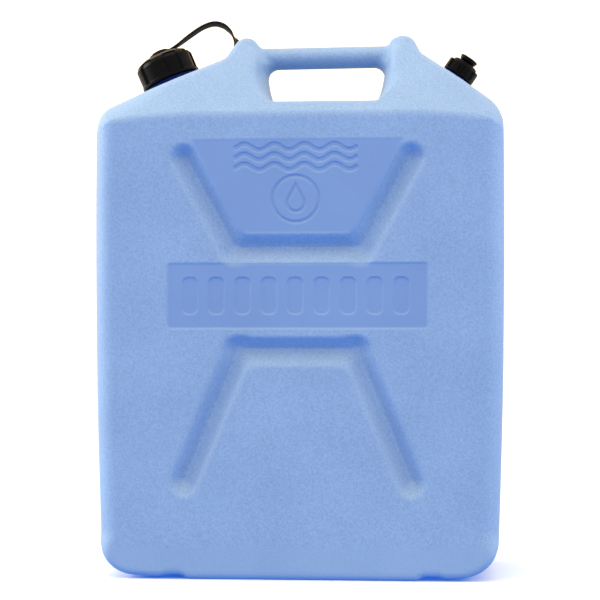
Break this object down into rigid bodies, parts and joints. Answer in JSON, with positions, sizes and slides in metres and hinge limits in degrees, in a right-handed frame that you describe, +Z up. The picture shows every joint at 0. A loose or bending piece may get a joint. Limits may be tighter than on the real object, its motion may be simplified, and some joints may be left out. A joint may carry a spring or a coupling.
{
  "type": "water jerry can",
  "caption": "Upright blow-moulded water jerry can with an integral carrying handle, a leaning screw filler cap on a tether strap and a small breather cap with a pull-up knob.",
  "frame": {"origin": "on the floor, under the middle of the can's width and depth", "axes": "+Z up, +X along the width towards the breather, the front face is at -Y"},
  "size_m": [0.35, 0.172, 0.4898],
  "materials": {
    "tank": "light blue polyethylene with a fine moulded grain",
    "caps": "black moulded polypropylene, satin",
    "strap": "black flexible moulded strap",
    "neck_rings": "navy moulded collar",
    "seals": "grey sealing rubber"
  },
  "bodies": {
    "root": {"tank_body": "tank", "filler_neck_ring": "neck_rings", "breather_neck_ring": "neck_rings", "strap_anchor_stud": "caps"},
    "filler_cap_carrier": {"cap_strap": "strap"},
    "filler_cap": {"filler_cap": "caps", "filler_cap_seal": "seals", "strap_button": "caps"},
    "breather_cap_carrier": {"breather_cap_seal": "seals"},
    "breather_cap": {"breather_cap": "caps"},
    "breather_knob": {"breather_knob": "caps", "breather_knob_seal": "seals"}
  },
  "joints": [
    {"name": "filler_cap_rise", "type": "slide", "parent": "root", "child": "filler_cap_carrier", "axis": [-0.3907, 0, 0.9205], "range_m": [0, 0.0421], "deforming": ["cap_strap"]},
    {"name": "filler_cap_turn", "type": "hinge", "parent": "filler_cap_carrier", "child": "filler_cap", "pos_m": [-0.11983, 0, 0.43496], "axis": [-0.3907, 0, 0.9205], "range_deg": [0, 1440]},
    {"name": "breather_cap_rise", "type": "slide", "parent": "root", "child": "breather_cap_carrier", "axis": [0.5736, 0, 0.8192], "range_m": [0, 0.0241]},
    {"name": "breather_cap_turn", "type": "hinge", "parent": "breather_cap_carrier", "child": "breather_cap", "pos_m": [0.13591, 0, 0.43636], "axis": [0.5736, 0, 0.8192], "range_deg": [0, 1440]},
    {"name": "breather_knob_pull", "type": "slide", "parent": "breather_cap", "child": "breather_knob", "axis": [0.5736, 0, 0.8192], "range_m": [0, 0.003]}
  ],
  "couplings": [
    {"joint": "filler_cap_rise", "follows": "filler_cap_turn", "m_per_rad": 0.0016711},
    {"joint": "breather_cap_rise", "follows": "breather_cap_turn", "m_per_rad": 0.00095493}
  ]
}
